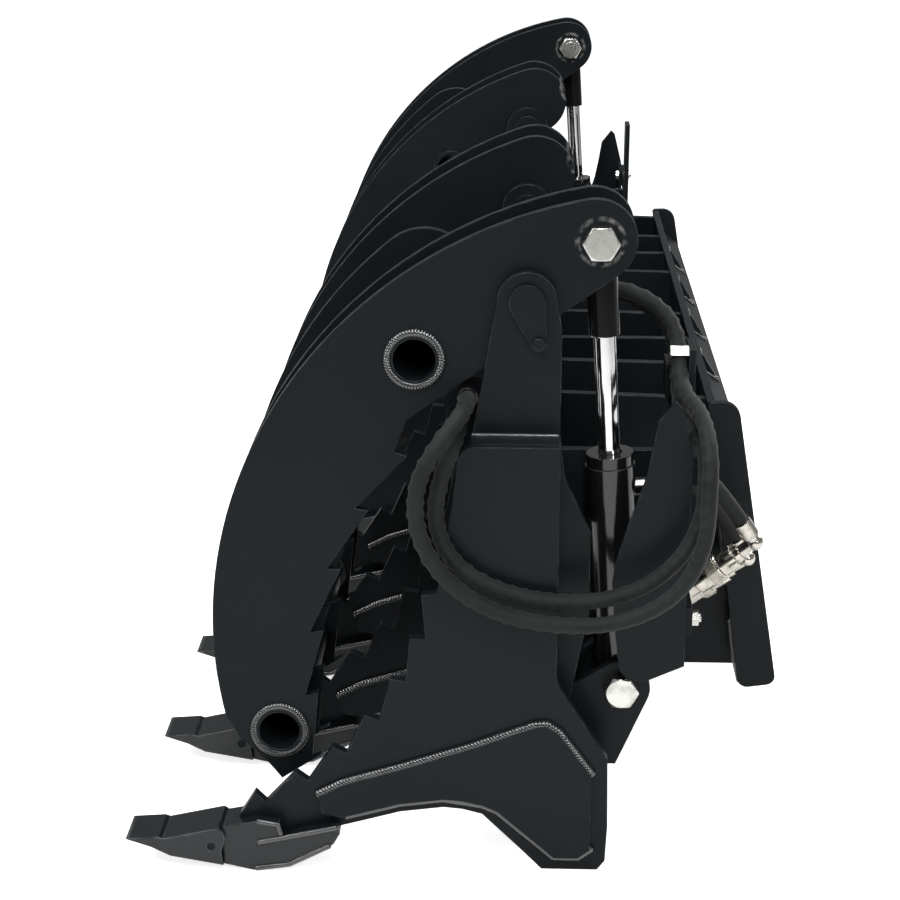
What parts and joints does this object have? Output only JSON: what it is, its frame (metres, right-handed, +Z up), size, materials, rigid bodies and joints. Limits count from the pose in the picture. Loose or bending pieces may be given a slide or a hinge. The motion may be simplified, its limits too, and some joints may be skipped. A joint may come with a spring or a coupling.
{
  "type": "root rake grapple",
  "caption": "Front rake with curved saw-toothed tines and two hydraulic jaws that close on it, on a quick-attach mount, for clearing roots and brush.",
  "frame": {"origin": "on the floor, midway across the width, midway from the tooth tips to the back of the mount", "axes": "+X towards the tool's right-hand end, +Y back towards the loader, +Z up"},
  "size_m": [1.8951, 0.7924, 0.7857],
  "materials": {
    "charcoal_paint": "semi-gloss enamel with worn edges",
    "black_gloss_paint": "gloss enamel",
    "zinc_plate": "zinc-plated hardware, slightly dusty",
    "chrome_rod": "hard chrome",
    "hose_sleeve": "rubber hose in a woven sleeve",
    "nickel_coupler": "nickel plate"
  },
  "bodies": {
    "frame": {"base_bolts": "zinc_plate", "centre_tines": "charcoal_paint", "couplers": "nickel_coupler", "cylinder_guards": "charcoal_paint", "cylinder_lugs": "charcoal_paint", "flag_bolts": "zinc_plate", "guard_bolts": "zinc_plate", "guard_brackets": "charcoal_paint", "guard_posts": "charcoal_paint", "heel_doublers": "charcoal_paint", "hinge_pins": "charcoal_paint", "hook_gussets": "charcoal_paint", "hook_lip": "charcoal_paint", "hose_blocks": "charcoal_paint", "hose_clamp": "zinc_plate", "hose_crimps": "zinc_plate", "inner_loop_hose": "hose_sleeve", "inner_posts": "charcoal_paint", "long_tines": "charcoal_paint", "lower_cross_tube": "charcoal_paint", "lower_feed_hose": "hose_sleeve", "mount_end_plates": "charcoal_paint", "mount_plate": "charcoal_paint", "mount_ribs": "charcoal_paint", "outer_loop_hose": "hose_sleeve", "outer_posts": "charcoal_paint", "outer_tines": "charcoal_paint", "pin_flange": "charcoal_paint", "post_caps": "charcoal_paint", "rib_posts": "charcoal_paint", "side_plate_left": "charcoal_paint", "side_plate_right": "charcoal_paint", "teeth": "charcoal_paint", "tooth_adapters": "charcoal_paint", "tooth_pins": "charcoal_paint", "upper_cross_tube": "charcoal_paint", "upper_feed_hose": "hose_sleeve"},
    "jaw_right": {"outer_arms_right": "charcoal_paint", "middle_arm_right": "charcoal_paint", "inner_arms_right": "charcoal_paint", "jaw_pipes_right": "charcoal_paint", "hinge_tubes_right": "charcoal_paint", "ear_bolt_right": "zinc_plate"},
    "cylinder_barrel_right": {"barrel_right": "black_gloss_paint", "gland_right": "black_gloss_paint"},
    "cylinder_rod_right": {"rod_right": "chrome_rod", "piston_right": "chrome_rod", "rod_pin_right": "chrome_rod"},
    "jaw_left": {"outer_arms_left": "charcoal_paint", "middle_arm_left": "charcoal_paint", "inner_arms_left": "charcoal_paint", "jaw_pipes_left": "charcoal_paint", "hinge_tubes_left": "charcoal_paint", "ear_bolt_left": "zinc_plate"},
    "cylinder_barrel_left": {"barrel_left": "black_gloss_paint", "gland_left": "black_gloss_paint"},
    "cylinder_rod_left": {"rod_left": "chrome_rod", "piston_left": "chrome_rod", "rod_pin_left": "chrome_rod"}
  },
  "joints": [
    {"name": "jaw_right_hinge", "type": "hinge", "parent": "frame", "child": "jaw_right", "pos_m": [0.6, 0.057, 0.675], "axis": [-1, 0, 0], "range_deg": [0, 75]},
    {"name": "cylinder_right_base", "type": "hinge", "parent": "frame", "child": "cylinder_barrel_right", "pos_m": [0.8185, 0.172, 0.208], "axis": [-1, 0, 0], "range_deg": [-0.7169, 0]},
    {"name": "cylinder_right_stroke", "type": "slide", "parent": "cylinder_barrel_right", "child": "cylinder_rod_right", "axis": [0, -0.0676, 0.9977], "range_m": [-0.12365, 0]},
    {"name": "jaw_left_hinge", "type": "hinge", "parent": "frame", "child": "jaw_left", "pos_m": [-0.6, 0.057, 0.675], "axis": [-1, 0, 0], "range_deg": [0, 75]},
    {"name": "cylinder_left_base", "type": "hinge", "parent": "frame", "child": "cylinder_barrel_left", "pos_m": [-0.8185, 0.172, 0.208], "axis": [-1, 0, 0], "range_deg": [-0.7169, 0]},
    {"name": "cylinder_left_stroke", "type": "slide", "parent": "cylinder_barrel_left", "child": "cylinder_rod_left", "axis": [0, -0.0676, 0.9977], "range_m": [-0.12365, 0]}
  ],
  "couplings": [
    {"joint": "cylinder_right_base", "follows": "jaw_right_hinge", "ratio": -0.009559},
    {"joint": "cylinder_right_stroke", "follows": "jaw_right_hinge", "m_per_rad": -0.094462},
    {"joint": "cylinder_left_base", "follows": "jaw_left_hinge", "ratio": -0.009559},
    {"joint": "cylinder_left_stroke", "follows": "jaw_left_hinge", "m_per_rad": -0.094462}
  ]
}
